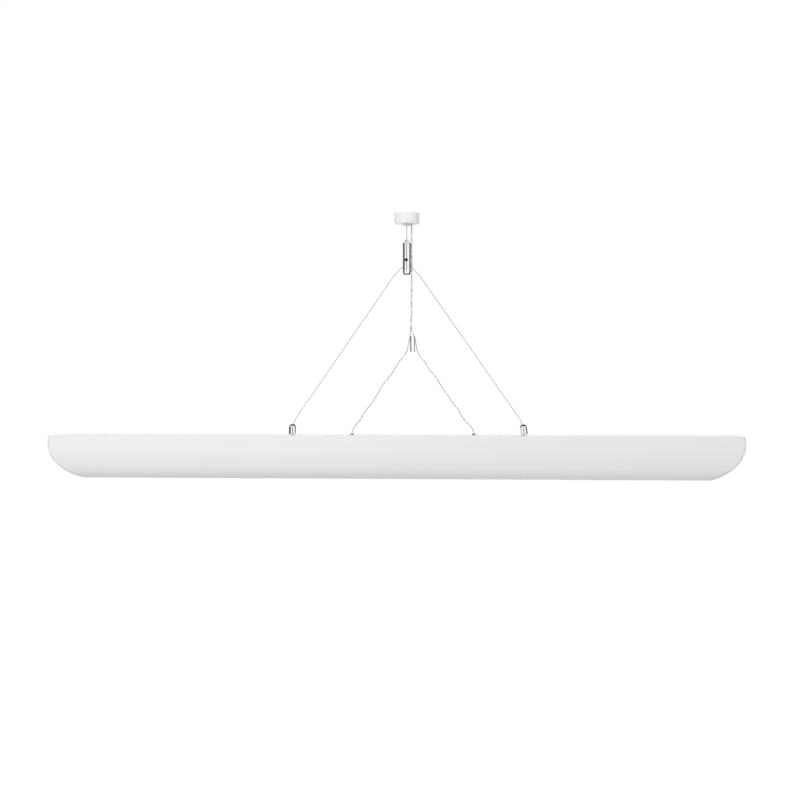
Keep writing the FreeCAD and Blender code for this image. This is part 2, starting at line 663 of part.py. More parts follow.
def plunger():
    stem = turned([
        ("plunger_bore", PLUNGER_TOP), ("plunger_radius - plunger_edge", PLUNGER_TOP),
        ("plunger_radius", f"{PLUNGER_TOP} - plunger_edge"), ("plunger_radius", FLANGE_TOP),
        ("plunger_flange_radius", FLANGE_TOP), ("plunger_flange_radius", SPRING_TOP),
        ("cage_radius", SPRING_TOP), ("cage_radius", CAGE_FOOT), ("plunger_bore", CAGE_FOOT),
    ])
    pockets = [
        cylinder("grip_ball_radius + rope_gap", "cage_radius * 2", ("0", "0", GRIP_Z),
                 ((-math.sin(angle), math.cos(angle), 0), "90"))
        for angle in (2 * math.pi / value("grip_ball_count") * index
                      for index in range(int(value("grip_ball_count"))))
    ]
    return cut(stem, *pockets)


def leg_hole(side, radius, start, length):
    """A cylinder along a leg's first run; start is measured from the leg's end, outwards."""
    lean = "atan((leg_root_rise + leg_bend_drop) / (leg_bend_reach - leg_root_reach))"
    at = (f"{side} * (leg_root_reach + ({start}) * cos({lean}))", "0",
          f"{LEG_EXIT} + leg_root_rise - ({start}) * sin({lean})")
    return cylinder(radius, length, at, ((0, side, 0), f"90 deg + {lean}"))


def spring():
    """Compression spring under the plunger's flange, one tube along half-turn arcs."""
    reach, wire = value("spring_radius"), value("spring_wire_radius")
    foot, room = value(CONE_TOP) + wire, value("spring_room") - 2 * wire
    halves = int(2 * value("spring_turns"))

    def spot(quarter):
        angle = quarter * math.pi / 2
        return Vector(reach * math.cos(angle), reach * math.sin(angle), foot + room * quarter / (2 * halves))

    arcs = [Part.Arc(spot(2 * i), spot(2 * i + 1), spot(2 * i + 2)).toShape() for i in range(halves)]
    ring = Part.Wire([Part.Circle(spot(0), Vector(0, 1, 0), wire).toShape()])
    made = doc.addObject("Part::Feature", "plunger_spring")
    made.Shape = Part.Wire(arcs).makePipeShell([ring], True, False)
    print(f"plunger_spring: gap between turns {room / value('spring_turns') - 2 * wire:.2f} mm")
    node("plunger_spring", made)


def gripper_x(side):
    return f"(gripper_centre + {side} * gripper_spacing / 2)"


def legs():
    stops = []
    for label, side, stub_lean in (("left", -1, "left_stub_lean"), ("right", 1, "right_stub_lean")):
        lean = math.radians(value(stub_lean))
        pivot = Vector(value(gripper_x(side)), 0, value(PIVOT_Z))
        along = Vector(-side * math.sin(lean), 0, math.cos(lean))
        ankle = Vector(-side * value(f"{label}_ankle_inset"), 0, value("leg_ankle_rise"))
        cord(f"{label}_leg_rope", [
            (side * value("leg_root_reach"), 0, value(LEG_EXIT) + value("leg_root_rise")),
            (side * value("leg_bend_reach"), 0, value(LEG_EXIT) - value("leg_bend_drop")),
            (side * value("leg_knee_reach"), 0, value(LEG_EXIT) - value("leg_knee_drop")),
            tuple(pivot + ankle),
            tuple(pivot + along * value("stub_top")),
            tuple(pivot + along * value("stub_end")),
        ], "rope_radius")
        at = (f"{gripper_x(side)} - {side} * stub_end * sin({stub_lean})", "0",
              f"{PIVOT_Z} + stub_end * cos({stub_lean})")
        turn = ((0, -side, 0), stub_lean)
        stops.append(cut(cylinder("stop_radius", "stop_length", at, turn),
                         cylinder("rope_radius", "stop_length", at, turn)))
    node("leg_stops", together(*stops))


# ---------------------------------------------------------------- grippers and grommets
def grippers():
    inner = "(cap_radius - cap_wall)"
    wall_top = "(cap_length - cap_drop - cap_dome)"
    dome_radius = "((cap_radius^2 + cap_dome^2) / (2 * cap_dome))"
    hole_rise = f"(sqrt({dome_radius}^2 - cap_hole_radius^2) - {dome_radius} + cap_dome)"
    studs, nuts = [], []
    for label, side in (("left", -1), ("right", 1)):
        at = (gripper_x(side), "0", PIVOT_Z)
        turn = ((0, -side, 0), f"{label}_cap_lean")
        node(f"{label}_gripper_cap", turned([
            (inner, "-cap_drop"), ("cap_radius", "-cap_drop"),
            ("cap_radius", wall_top, dome_radius), ("cap_hole_radius", f"{wall_top} + {hole_rise}"),
            ("cap_hole_radius", wall_top), (inner, wall_top),
        ], at, turn))
        node(f"{label}_gripper_ring", cut(
            turned([
                ("ring_mouth_radius", "-cap_drop"), (f"{inner} - thread_gap", "-cap_drop"),
                (f"{inner} - thread_gap", "ring_height - cap_drop"),
                ("ring_mouth_radius", "ring_height - cap_drop"),
            ], at, turn),
            ball("stud_ball_radius + ball_gap", at),
        ))
        foot = (at[0], "0", f"{TRAY_UNDER} - stud_below")
        studs.append(joined(
            ball("stud_ball_radius", at),
            cylinder("stud_neck_radius", "stud_below + tray_thick + cap_pivot_rise", foot),
            cylinder("stud_flange_radius", "stud_flange_height", (at[0], "0", TOP)),
        ))
        low = f"{TRAY_UNDER} - stud_nut_height"
        nuts.append(cut(hexagon("stud_nut_radius", "stud_nut_height", (at[0], "0", low)),
                        cylinder("stud_neck_radius + thread_gap", "stud_nut_height", (at[0], "0", low))))
    node("gripper_studs", together(*studs))
    node("gripper_nuts", together(*nuts))


def grommet_x(side):
    return f"(cable_centre + {side} * grommet_spacing / 2)"


def grommets():
    way = "(wire_radius + wire_gap)"
    dome_radius = "((grommet_radius^2 + grommet_dome^2) / (2 * grommet_dome))"
    way_rise = f"(sqrt({dome_radius}^2 - ({way} + wire_gap * 5)^2) - {dome_radius} + grommet_dome)"
    for label, side in (("left", -1), ("right", 1)):
        node(f"{label}_grommet", turned([
            ("grommet_radius", "0", dome_radius), (f"{way} + wire_gap * 5", way_rise),
            (way, f"{way_rise} - wire_gap * 8"), (way, "-tray_thick - grommet_neck_length"),
            ("grommet_lip_radius", "-tray_thick - grommet_neck_length"),
            ("grommet_lip_radius", "-tray_thick"), ("grommet_neck_radius", "-tray_thick"),
            ("grommet_neck_radius", "0"),
        ], (grommet_x(side), "0", TOP)))


# ---------------------------------------------------------------- wires and splitter
def wires():
    cord("trunk_cable", TRUNK_ROUTE, "trunk_radius")
    tips = []
    top = Vector(*TRUNK_ROUTE[0])
    for side in (-1, 1):
        tips.append(cylinder("ferrule_radius", "ferrule_length",
                             (f"{top.x} + {side} * wire_radius", top.y, top.z)))
    node("trunk_ferrules", together(*tips))
    cord("left_wire", LEFT_WIRE_ROUTE, "wire_radius")
    cord("right_wire", RIGHT_WIRE_ROUTE, "wire_radius")
    cord("left_inner_lead", LEFT_LEAD_ROUTE, "lead_radius")
    cord("right_inner_lead", RIGHT_LEAD_ROUTE, "lead_radius")


def splitter():
    foot = "(-splitter_drop - splitter_length)"
    axis = ("splitter_across", "splitter_behind")
    solid = cylinder("splitter_radius", "splitter_length", (*axis, foot))
    bore = cylinder("splitter_bore", "splitter_length - splitter_roof", (*axis, foot))
    slots = []
    for side in (1, -1):
        slots.append(box(
            "splitter_radius", "wire_radius * 2 + wire_gap * 4", "splitter_slot_length * 2",
            (f"splitter_across + {side} * (splitter_radius - splitter_slot_depth + splitter_radius / 2)"
             " - splitter_radius / 2",
             "splitter_behind - wire_radius - wire_gap * 2", "-splitter_drop - splitter_slot_length"),
        ))
    node("splitter_body", cut(solid, bore, *slots))
    node("splitter_plug", cylinder("splitter_bore - thread_gap", "splitter_plug_length", (*axis, foot)))


# ---------------------------------------------------------------- trough
def half_outline(inset, top):
    """Right-hand half of the trough's section, set in from the outside, from its top to its bottom."""
    side = f"(side_radius - {inset})"
    corner = f"({CORNER_RADIUS} - {inset})"
    middle_y = f"(body_width / 2 - {SIDE_INSET} - {CORNER_RADIUS} * cos(side_turn))"
    return [
        (f"body_width / 2 - {inset}", top),
        (f"body_width / 2 - {inset}", f"{TOP} - wall_straight", f"-{side}"),
        (f"body_width / 2 - side_radius + {side} * cos(side_turn)",
         f"{TOP} - wall_straight - {side} * sin(side_turn)", f"-{corner}"),
        (middle_y, f"{TOP} - body_height + {inset}"),
    ]


def mirrored(half):
    """The whole closed outline: the right half downwards, then the left half upwards."""
    left = []
    for index in range(len(half) - 1, -1, -1):
        y, z = half[index][:2]
        arc = half[index - 1][2:] if index else ()
        left.append((f"-({y})", z, *arc))
    return half + left


def trough_run(inset, top, length="body_length"):
    return run(mirrored(half_outline(inset, top)), length, (middle(length), "0", "0"))


def end_envelope(inset):
    """All that lies between the two curved ends, set in by a thickness."""
    reach, rise = f"(end_reach - {inset})", f"({END_RISE} - {inset})"
    centre = "(body_length / 2 - end_reach)"
    parts = [box(f"{centre} * 2", "body_width * 2", f"{rise} * 2",
                 (f"-hang_offset - {centre}", "-body_width", f"{TOP} - end_depth - {rise}"))]
    for side in "-+":
        curve = bind(doc.addObject("Part::Ellipse", "Curve"), MajorRadius=reach, MinorRadius=rise)
        made = doc.addObject("Part::Extrusion", "CurvedEnd")
        made.Base = curve
        made.DirMode = "Custom"
        made.Dir = Vector(0, 0, 1)
        made.Solid = True
        bind(made, LengthFwd="body_width * 2")
        parts.append(put(made, (f"-hang_offset {side} {centre}", "body_width", f"{TOP} - end_depth"),
                         ((1, 0, 0), "90")))
    return joined(*parts)


def shells():
    under = TRAY_UNDER
    hollow = trough_run("diffuser_wall", under)
    skin = cut(trough_run("0", under), hollow)
    flange_y = "(body_width / 2 - diffuser_wall - tray_fit_gap)"
    ledges = [
        box("body_length", "snap_ledge + tray_fit_gap", "snap_ledge",
            (middle("body_length"), low_y, f"{under} - tray_flange - tray_fit_gap - snap_ledge"))
        for low_y in (f"{flange_y} - snap_ledge", f"-{flange_y} - tray_fit_gap")
    ]
    node("diffuser", shared(joined(skin, *ledges), end_envelope("(end_thick + end_gap)")))

    plate = cut(shared(trough_run("0", TOP), end_envelope("0")), end_envelope("end_thick"))
    for label, low_x in (("left", "-hang_offset - body_length"), ("right", "-hang_offset")):
        half = box("body_length", "body_width * 2", "body_height * 2",
                   (low_x, "-body_width", f"{TOP} - body_height * 1.5"))
        node(f"{label}_end_plate", shared(plate, half))

    lip = f"({under} - tray_flange)"
    sheet_corners = [
        ("body_width / 2", TOP), ("body_width / 2", under), (flange_y, under), (flange_y, lip),
        (f"{flange_y} - tray_thick", lip), (f"{flange_y} - tray_thick", under),
    ]
    corners = sheet_corners + [(f"-({y})", z) for y, z in reversed(sheet_corners)]
    tray = run(corners, "body_length", (middle("body_length"), "0", "0"))
    holes = []
    for side in (-1, 1):
        holes.append(cylinder("stud_neck_radius + thread_gap", "tray_thick * 3",
                              (gripper_x(side), "0", f"{TOP} - tray_thick * 2")))
        holes.append(cylinder("grommet_neck_radius", "tray_thick * 3",
                              (grommet_x(side), "0", f"{TOP} - tray_thick * 2")))
    for x, y in rivet_places():
        holes.append(cylinder("rivet_radius", "tray_thick * 3", (x, y, f"{TOP} - tray_thick * 2")))
    node("top_tray", cut(shared(tray, end_envelope("end_thick")), *holes))

    envelope = end_envelope("(end_thick + end_gap)")
    for label, x in (("left", "-hang_offset - body_length / 2 + end_thick"),
                     ("right", "-hang_offset + body_length / 2 - end_thick - seal_width * 2")):
        strip = box("seal_width * 2", f"({flange_y} - tray_thick) * 2 - tray_fit_gap * 2", "seal_height",
                    (x, f"-{flange_y} + tray_thick + tray_fit_gap", f"{under} - seal_height"))
        node(f"{label}_end_seal", shared(strip, envelope))


def rivet_places():
    count = int(value("rivet_count"))
    return [
        (f"-hang_offset + {RIVET_SPACING} * {index - (count - 1) / 2}",
         f"{side}(carrier_width / 2 + carrier_foot / 2)")
        for index in range(count) for side in "-+"
    ]


def light_source():
    under, web = TRAY_UNDER, CARRIER_TOP
    half = [
        ("carrier_width / 2 + carrier_foot", under),
        ("carrier_width / 2 + carrier_foot", f"{under} - carrier_thick"),
        ("carrier_width / 2", f"{under} - carrier_thick"), ("carrier_width / 2", f"{web} - carrier_thick"),
    ]
    inner = [
        ("carrier_width / 2 - carrier_thick", web), ("carrier_width / 2 - carrier_thick", under),
    ]
    corners = half + [(f"-({y})", z) for y, z in reversed(half)]
    corners += [(f"-({y})", z) for y, z in reversed(inner)] + inner
    channel = run(corners, CARRIER_LENGTH, (middle(CARRIER_LENGTH), "0", "0"))
    holes, rivets = [], []
    for x, y in rivet_places():
        low = f"{under} - carrier_thick"
        holes.append(cylinder("rivet_radius", "carrier_thick * 3", (x, y, f"{low} - carrier_thick")))
        rivets.append(joined(
            cylinder("rivet_radius", "carrier_thick + tray_thick", (x, y, low)),
            cylinder("rivet_head_radius", "rivet_head_height", (x, y, f"{low} - rivet_head_height")),
        ))
    node("led_carrier", cut(channel, *holes))
    node("carrier_rivets", together(*rivets))

    chips = []
    count = int(value("board_count"))
    columns, rows = int(value("chip_columns")), int(value("chip_rows"))
    for index in range(count):
        start = f"(-hang_offset + ({BOARD_LENGTH} + board_gap) * {index - count / 2} + board_gap / 2)"
        node(f"led_board_{index + 1}", box(BOARD_LENGTH, "board_width", "board_thick",
                                           (start, "-board_width / 2", f"{BOARD_TOP} - board_thick")))
        for column in range(columns):
            for line in range(rows):
                x = f"{start} + {BOARD_LENGTH} / {columns} * {column + 0.5} - chip_size / 2"
                y = f"chip_row_spacing * {line - (rows - 1) / 2} - chip_size / 2"
                z = f"{CHIP_TOP} - chip_height"
                chips.append(box("chip_size", "chip_size", "chip_height", (x, y, z)))
    node("led_chips", together(*chips))


def driver():
    low_x = "driver_start"
    middle_x = "(driver_start + driver_length / 2)"
    low_y = "(-driver_width / 2)"
    floor = CARRIER_TOP
    base = cut(
        box("driver_length", "driver_width", "driver_height", (low_x, low_y, floor)),
        box("driver_length - driver_wall * 2", "driver_width - driver_wall * 2", "driver_height",
            (f"{low_x} + driver_wall", f"{low_y} + driver_wall", f"{floor} + driver_wall")),
    )
    mouth = box("driver_wall * 6", "terminal_length", "terminal_height + wire_gap * 2",
                (f"{low_x} - driver_wall * 3", "-terminal_length / 2", f"{floor} + driver_wall * 2"))
    node("driver_case", cut(base, mouth))
    lid_z = f"({floor} + driver_height)"
    lid = cut(
        box("driver_length + driver_wall * 2 + wire_gap * 2", "driver_width + driver_wall * 2 + wire_gap * 2",
            "driver_lid_lap + driver_wall",
            (f"{low_x} - driver_wall - wire_gap", f"{low_y} - driver_wall - wire_gap",
             f"{lid_z} - driver_lid_lap")),
        box("driver_length + wire_gap * 2", "driver_width + wire_gap * 2", "driver_lid_lap",
            (f"{low_x} - wire_gap", f"{low_y} - wire_gap", f"{lid_z} - driver_lid_lap")),
    )
    node("driver_lid", lid)
    board_z = f"({floor} + driver_wall + driver_board_rise)"
    posts = [
        cylinder("driver_post_radius", "driver_board_rise",
                 (f"{low_x} + {end}", f"{side}(driver_width / 2 - driver_board_margin * 2)",
                  f"{floor} + driver_wall"))
        for end in ("driver_board_margin * 2", "driver_length - driver_board_margin * 2") for side in "-+"
    ]
    node("driver_spacers", together(*posts))
    node("driver_board", box(
        "driver_length - driver_board_margin * 2", "driver_width - driver_board_margin * 2", "board_thick",
        (f"{low_x} + driver_board_margin", f"{low_y} + driver_board_margin", board_z),
    ))
    parts_z = f"({board_z} + board_thick)"
    node("driver_transformer", box(
        "driver_core_length", "driver_core_width", "driver_core_height",
        (f"{middle_x} - driver_core_length / 2", "-driver_core_width / 2", parts_z),
    ))
    node("driver_capacitors", together(*[
        cylinder("capacitor_radius", "capacitor_length",
                 (f"{middle_x} + driver_core_length", f"{side}capacitor_length * 0.6 - capacitor_radius",
                  f"{parts_z} + capacitor_radius"), ((0, 1, 0), "90"))
        for side in "-+"
    ]))
    block_x = f"({low_x} + driver_wall + wire_gap)"
    block = box("terminal_width", "terminal_length - wire_gap * 2", "terminal_height - wire_gap",
                (block_x, "-terminal_length / 2 + wire_gap", parts_z))
    wells, clamps = [], []
    for side in "+-":
        place = (f"{block_x} + terminal_width / 2", f"{side}terminal_screw_spacing / 2",
                 f"{parts_z} + terminal_height / 2")
        wells.append(cylinder("terminal_screw_radius + thread_gap", "terminal_height", place))
        clamps.append(cylinder("terminal_screw_radius", "terminal_height / 3", place))
    node("driver_terminal", cut(block, *wells))
    node("driver_terminal_screws", together(*clamps))


ceiling_rose()
top_rope()
hub()
legs()
grippers()
grommets()
wires()
splitter()
shells()
light_source()
driver()
doc.recompute()

for item in doc.Objects:
    if "Invalid" in item.State or "Error" in item.State:
        raise SystemExit(f"{item.Label} failed: {item.State}")
for item in NODES:
    if item.Shape.isNull() or not item.Shape.isValid() or not item.Shape.Solids:
        raise SystemExit(f"{item.Label} has no valid solid")

os.makedirs("parts", exist_ok=True)
for item in NODES:
    item.Shape.exportStep(f"parts/{item.Label}.step")
print(len(NODES), "nodes")
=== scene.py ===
# The looks of the hanging shop light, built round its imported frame.
#
# Everything is in metres, in the frame of the solids: the origin lies on the ceiling on the rope's axis,
# +Z is up, +X runs along the trough to the viewer's right, and -Y faces the viewer.

import json
import math

import bpy
import numpy as np
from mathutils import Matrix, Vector


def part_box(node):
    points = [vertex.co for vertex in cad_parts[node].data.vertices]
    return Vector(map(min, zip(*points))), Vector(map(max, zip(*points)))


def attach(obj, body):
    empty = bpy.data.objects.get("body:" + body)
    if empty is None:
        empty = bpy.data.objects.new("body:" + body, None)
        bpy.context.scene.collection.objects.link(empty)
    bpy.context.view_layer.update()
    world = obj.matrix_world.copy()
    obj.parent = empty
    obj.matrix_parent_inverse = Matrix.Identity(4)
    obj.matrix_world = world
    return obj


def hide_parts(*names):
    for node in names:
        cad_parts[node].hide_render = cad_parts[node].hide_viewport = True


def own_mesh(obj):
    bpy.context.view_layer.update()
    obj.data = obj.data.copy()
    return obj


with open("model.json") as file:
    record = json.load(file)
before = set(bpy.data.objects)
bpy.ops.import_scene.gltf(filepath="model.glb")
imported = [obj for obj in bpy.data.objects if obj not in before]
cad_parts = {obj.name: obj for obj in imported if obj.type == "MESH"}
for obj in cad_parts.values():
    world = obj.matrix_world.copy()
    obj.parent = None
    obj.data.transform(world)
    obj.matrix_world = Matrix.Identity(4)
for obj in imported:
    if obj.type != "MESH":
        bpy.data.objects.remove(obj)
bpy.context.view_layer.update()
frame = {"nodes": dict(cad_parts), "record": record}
scene = bpy.context.scene
scene.view_settings.view_transform = "Standard"

# ---------------------------------------------------------------- camera
PHOTO_WIDTH = 800                 # the photograph's frame, in pixels
FOCAL_PIXELS = 1861               # its focal length, from how the trough's two ends differ in height
CAMERA_DISTANCE = 3.24            # to the rope
CAMERA_TURN = math.radians(7)     # the camera stands to the right of the trough's normal
CAMERA_SHIFT = 0.01184            # the rope stands this far right of the picture's middle
CAMERA_RISE = 0.061               # above the trough's top
SENSOR = 36


def make_camera():
    """The photograph's camera: level, a little above the trough's top and turned about the vertical."""
    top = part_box("top_tray")[1].z
    data = bpy.data.cameras.new("Camera")
    data.sensor_width = SENSOR
    data.lens = SENSOR * FOCAL_PIXELS / PHOTO_WIDTH
    data.clip_start = 0.05
    camera = bpy.data.objects.new("Camera", data)
    scene.collection.objects.link(camera)
    right = Vector((math.cos(CAMERA_TURN), math.sin(CAMERA_TURN), 0))
    ahead = Vector((-math.sin(CAMERA_TURN), math.cos(CAMERA_TURN), 0))
    camera.location = -right * CAMERA_SHIFT - ahead * CAMERA_DISTANCE + Vector((0, 0, top + CAMERA_RISE))
    camera.rotation_euler = (math.radians(90), 0, CAMERA_TURN)
    scene.camera = camera


# ---------------------------------------------------------------- routes of the ropes and wires
WIRE_DIAMETER = 0.0018
TRUNK_DIAMETER = 0.0036
ROPE_DIAMETER = 0.0012

ROPE_STRANDS = 6                  # round a core of the same size
ROPE_LAY = 0.0085                 # length in which a strand goes once round
CONDUCTOR_STRANDS = 6             # in one wire, round a core of the same size
CONDUCTOR_LAY = 0.012
CONDUCTOR_STRAND_RADIUS = 0.00016
TRUNK_LAY = 0.044                 # length in which the pair of wires goes once round
TRUNK_CORE_RADIUS = 0.00045
TRUNK_START = math.radians(90)    # where the pair begins its first turn

TRUNK_ROUTE = [
    (0.0076, 0.0060, -0.0174),
    (0.0076, 0.0060, -0.0440),
    (0.0080, 0.0060, -0.0780),
    (0.0077, 0.0060, -0.1120),
    (0.0083, 0.0052, -0.1340),
    (0.0076, 0.0044, -0.1540),
    (0.0084, 0.0032, -0.1740),
    (0.0074, 0.0018, -0.1890),
    (0.0074, 0.0018, -0.2005),
]
LEFT_WIRE_ROUTE = [
    (0.0065, 0.0018, -0.2005),
    (0.0065, 0.0018, -0.2060),
    (0.0053, 0.0015, -0.2145),
    (0.0036, 0.0013, -0.2230),
    (0.0019, 0.0010, -0.2320),
    (0.0006, 0.0006, -0.2405),
    (-0.0056, 0.0002, -0.2492),
    (-0.0146, 0.0000, -0.2595),
    (-0.0258, 0.0006, -0.2790),
    (-0.0390, 0.0009, -0.2940),
    (-0.0486, 0.0004, -0.3095),
    (-0.0594, -0.0004, -0.3280),
    (-0.0720, -0.0009, -0.3432),
    (-0.0812, -0.0004, -0.3588),
    (-0.0910, 0.0000, -0.3704),
    (-0.0964, 0.0000, -0.3786),
    (-0.0964, 0.0000, -0.3876),
]
RIGHT_WIRE_ROUTE = [
    (0.0083, 0.0018, -0.2005),
    (0.0083, 0.0018, -0.2040),
    (0.0102, 0.0017, -0.2086),
    (0.0129, 0.0015, -0.2150),
    (0.0150, 0.0013, -0.2230),
    (0.0168, 0.0011, -0.2320),
    (0.0184, 0.0008, -0.2410),
    (0.0234, 0.0004, -0.2500),
    (0.0324, 0.0006, -0.2596),
    (0.0374, 0.0010, -0.2700),
    (0.0460, 0.0006, -0.2792),
    (0.0546, 0.0000, -0.2906),
    (0.0618, -0.0006, -0.3040),
    (0.0730, -0.0002, -0.3174),
    (0.0788, 0.0006, -0.3292),
    (0.0896, 0.0010, -0.3406),
    (0.0956, 0.0004, -0.3534),
    (0.1046, -0.0002, -0.3638),
    (0.1114, 0.0000, -0.3704),
    (0.1168, 0.0000, -0.3786),
    (0.1168, 0.0000, -0.3876),
]
TOP_ROPE_ROUTE = [
    (0.0, 0.0, -0.0157),
    (0.0, 0.0, -0.0220),
    (0.0, 0.0, -0.0750),
]
# The legs are taut, so each long run has one more point near either bend.
LEFT_LEG_ROUTE = [
    (-0.0026, 0.0, -0.0896),
    (-0.0140, 0.0, -0.0989),
    (-0.0250, 0.0, -0.1123),
    (-0.0349, 0.0, -0.1265),
    (-0.1882, 0.0, -0.3462),
    (-0.1954, 0.0, -0.3565),
    (-0.2015, 0.0, -0.3675),
    (-0.2018, 0.0, -0.3757),
]
RIGHT_LEG_ROUTE = [
    (0.0026, 0.0, -0.0896),
    (0.0140, 0.0, -0.0989),
    (0.0250, 0.0, -0.1123),
    (0.0349, 0.0, -0.1265),
    (0.1884, 0.0, -0.3461),
    (0.1957, 0.0, -0.3565),
    (0.2017, 0.0, -0.3677),
    (0.2032, 0.0, -0.3758),
]


def route_curve(name, points, diameter=0.0):
    """A smooth curve with the route's points as its control points."""
    data = bpy.data.curves.new(name, "CURVE")
    data.dimensions = "3D"
    data.resolution_u = 16
    data.bevel_depth = diameter / 2
    data.bevel_resolution = 5
    data.use_fill_caps = True
    spline = data.splines.new("NURBS")
    spline.points.add(len(points) - 1)
    for point, spot in zip(spline.points, points):
        point.co = (*spot, 1)
    spline.order_u = 3
    spline.use_endpoint_u = True
    curve = bpy.data.objects.new(name, data)
    scene.collection.objects.link(curve)
    return curve


def route_line(points, step):
    """Evenly spaced points on the route's smooth curve, at most a step apart, as an array."""
    curve = route_curve("Line", points)
    bpy.context.view_layer.update()
    mesh = bpy.data.meshes.new_from_object(curve)
    line = np.array([vertex.co for vertex in mesh.vertices])
    bpy.data.objects.remove(curve)
    bpy.data.meshes.remove(mesh)
    along = np.concatenate([[0], np.cumsum(np.linalg.norm(np.diff(line, axis=0), axis=1))])
    count = int(math.ceil(along[-1] / step)) + 1
    even = np.linspace(0, along[-1], count)
    return np.stack([np.interp(even, along, line[:, axis]) for axis in range(3)], axis=1)


def side_frames(line):
    """Two directions across the line at each of its points, carried along it without a twist."""
    ways = np.gradient(line, axis=0)
    ways /= np.linalg.norm(ways, axis=1)[:, None]
    across = np.cross(ways[0], (0.0, 1.0, 0.0))
    firsts = []
    for way in ways:
        across = across - way * (across @ way)
        across /= np.linalg.norm(across)
        firsts.append(across)
    firsts = np.array(firsts)
    return firsts, np.cross(ways, firsts)


def strand_mesh(name, line, strands, lay, reach, radius, sides, start=0.0, core=False):
    """Round strands that wind about a line: their count, lay length, distance from it and radius."""
    first, second = side_frames(line)
    along = np.concatenate([[0], np.cumsum(np.linalg.norm(np.diff(line, axis=0), axis=1))])
    vertices, faces = [], []
    centres = [
        line + reach * (np.cos(turn)[:, None] * first + np.sin(turn)[:, None] * second)
        for turn in (start + 2 * math.pi * (along / lay + index / strands) for index in range(strands))
    ]
    if core:
        centres.append(line)
    for centre in centres:
        one, two = side_frames(centre)
        base, rings = len(vertices), len(centre)
        for spot, a, b in zip(centre, one, two):
            for side in range(sides):
                angle = 2 * math.pi * side / sides
                vertices.append(spot + radius * (math.cos(angle) * a + math.sin(angle) * b))
        for ring in range(rings - 1):
            for side in range(sides):
                low, after = base + ring * sides, (side + 1) % sides
                faces.append((low + side, low + after, low + sides + after, low + sides + side))
        faces.append(tuple(base + side for side in reversed(range(sides))))
        faces.append(tuple(base + (rings - 1) * sides + side for side in range(sides)))
    mesh = bpy.data.meshes.new(name)
    mesh.from_pydata([tuple(vertex) for vertex in vertices], [], faces)
    mesh.polygons.foreach_set("use_smooth", [True] * len(mesh.polygons))
    piece = bpy.data.objects.new(name, mesh)
    scene.collection.objects.link(piece)
    return piece


# ---------------------------------------------------------------- materials
def new_material(name, color, roughness, metallic=0.0):
    """A material with its shader; returns its nodes, links and shader too."""
    made = bpy.data.materials.new(name)
    made.use_nodes = True
    nodes, links = made.node_tree.nodes, made.node_tree.links
    shader = nodes["Principled BSDF"]
    shader.inputs["Base Color"].default_value = (*color, 1)
    shader.inputs["Roughness"].default_value = roughness
    shader.inputs["Metallic"].default_value = metallic
    return made, nodes, links, shader


def place_texture(nodes, links, kind, scale, stretch=(1, 1, 1), detail=3.0):
    """A noise, Voronoi or wave texture in the object's own place; scale counts features in a metre."""
    place = nodes.new("ShaderNodeTexCoord")
    mapping = nodes.new("ShaderNodeMapping")
    mapping.inputs["Scale"].default_value = [scale * part for part in stretch]
    texture = nodes.new(kind)
    texture.inputs["Scale"].default_value = 1.0
    if "Detail" in texture.inputs:
        texture.inputs["Detail"].default_value = detail
    links.new(place.outputs["Object"], mapping.inputs["Vector"])
    links.new(mapping.outputs["Vector"], texture.inputs["Vector"])
    return texture


def spread(nodes, links, texture, output, low, high):
    """A texture's value brought between two limits."""
    ramp = nodes.new("ShaderNodeMapRange")
    ramp.inputs["To Min"].default_value = low
    ramp.inputs["To Max"].default_value = high
    links.new(texture.outputs[output], ramp.inputs["Value"])
    return ramp.outputs["Result"]


def add_bump(nodes, links, shader, texture, output, height):
    """Relief from a texture, as high as the height in metres."""
    bump = nodes.new("ShaderNodeBump")
    bump.inputs["Strength"].default_value = 1.0
    bump.inputs["Distance"].default_value = height
    links.new(texture.outputs[output], bump.inputs["Height"])
    links.new(bump.outputs["Normal"], shader.inputs["Normal"])


def tint(nodes, links, shader, factor, color_a, color_b):
    """A base colour that goes from one tone to another with the factor."""
    mix = nodes.new("ShaderNodeMix")
    mix.data_type = "RGBA"
    mix.inputs["A"].default_value = (*color_a, 1)
    mix.inputs["B"].default_value = (*color_b, 1)
    links.new(factor, mix.inputs["Factor"])
    links.new(mix.outputs["Result"], shader.inputs["Base Color"])


def lacquer():
    """White lacquer: a fine orange peel, hardly any change of tone and a thin gloss."""
    made, nodes, links, shader = new_material("white_paint", (0.86, 0.87, 0.885), 0.36)
    tone = place_texture(nodes, links, "ShaderNodeTexNoise", 9, detail=2)
    tint(nodes, links, shader, tone.outputs["Fac"], (0.85, 0.862, 0.88), (0.872, 0.88, 0.892))
    peel = place_texture(nodes, links, "ShaderNodeTexNoise", 1500, detail=1)
    add_bump(nodes, links, shader, peel, "Fac", 0.000004)
    gloss = place_texture(nodes, links, "ShaderNodeTexNoise", 60)
    links.new(spread(nodes, links, gloss, "Fac", 0.31, 0.42), shader.inputs["Roughness"])
    shader.inputs["Coat Weight"].default_value = 0.5
    shader.inputs["Coat Roughness"].default_value = 0.08
    return made


